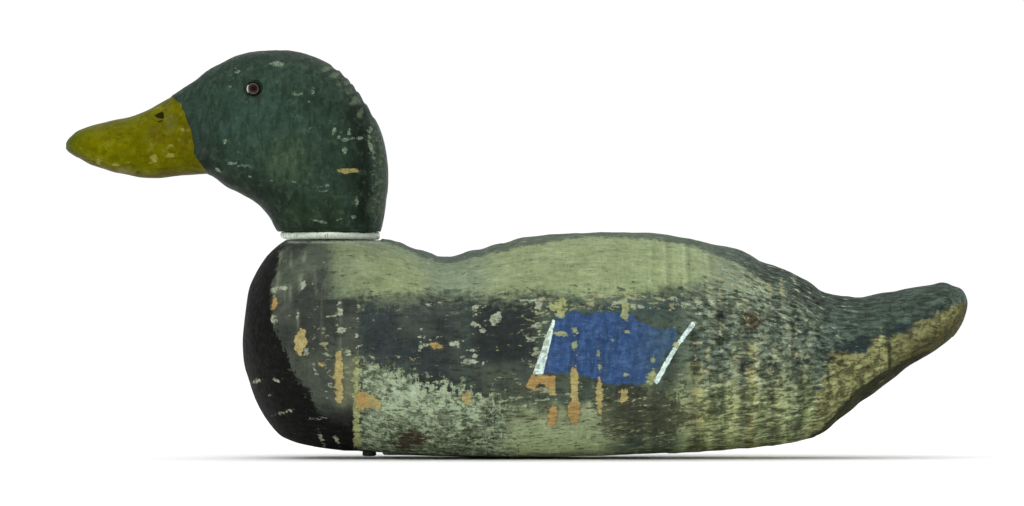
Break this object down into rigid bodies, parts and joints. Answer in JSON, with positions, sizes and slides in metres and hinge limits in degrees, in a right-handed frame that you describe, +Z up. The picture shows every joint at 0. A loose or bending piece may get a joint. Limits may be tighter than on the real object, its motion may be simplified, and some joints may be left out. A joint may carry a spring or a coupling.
{
  "type": "floating duck decoy",
  "caption": "Full-size wooden duck decoy that floats upright on water; its separate head turns on a dowel above the flat neck shelf, with a ballast plate and a line loop below.",
  "frame": {"origin": "middle of the footprint, on the underside of the ballast plate that the decoy stands on", "axes": "bill towards -X, tail towards +X, left side towards -Y, +Z up"},
  "size_m": [0.4306, 0.15, 0.1943],
  "materials": {
    "body_paint": "worn matt oil paint over turned softwood, bare orange wood at the worn ridges",
    "head_paint": "worn dark green oil paint over carved wood, olive yellow bill",
    "collar_paint": "off-white paint over wood",
    "bare_wood": "plain aged wood",
    "steel": "dull, slightly rusted steel",
    "lead": "dull oxidised lead",
    "eye_glass": "glossy glass with a red-brown iris and a black pupil",
    "putty": "hard dark putty",
    "strap_leather": "hardened black leather"
  },
  "bodies": {
    "hull": {"body": "body_paint", "screw_plug": "bare_wood", "ballast_plate": "lead", "ballast_nails": "steel", "line_loop": "strap_leather", "line_loop_tacks": "steel"},
    "turning_head": {"head": "head_paint", "neck_collar": "collar_paint", "neck_dowel": "bare_wood", "head_screw": "steel", "head_washer": "steel", "eye_left": "eye_glass", "eye_right": "eye_glass", "eye_putty_left": "putty", "eye_putty_right": "putty", "eye_pin_left": "steel", "eye_pin_right": "steel"}
  },
  "joints": [
    {"name": "head_turn", "type": "hinge", "parent": "hull", "child": "turning_head", "pos_m": [-0.0892, 0, 0.1037], "axis": [0, 0, 1], "continuous": true}
  ]
}
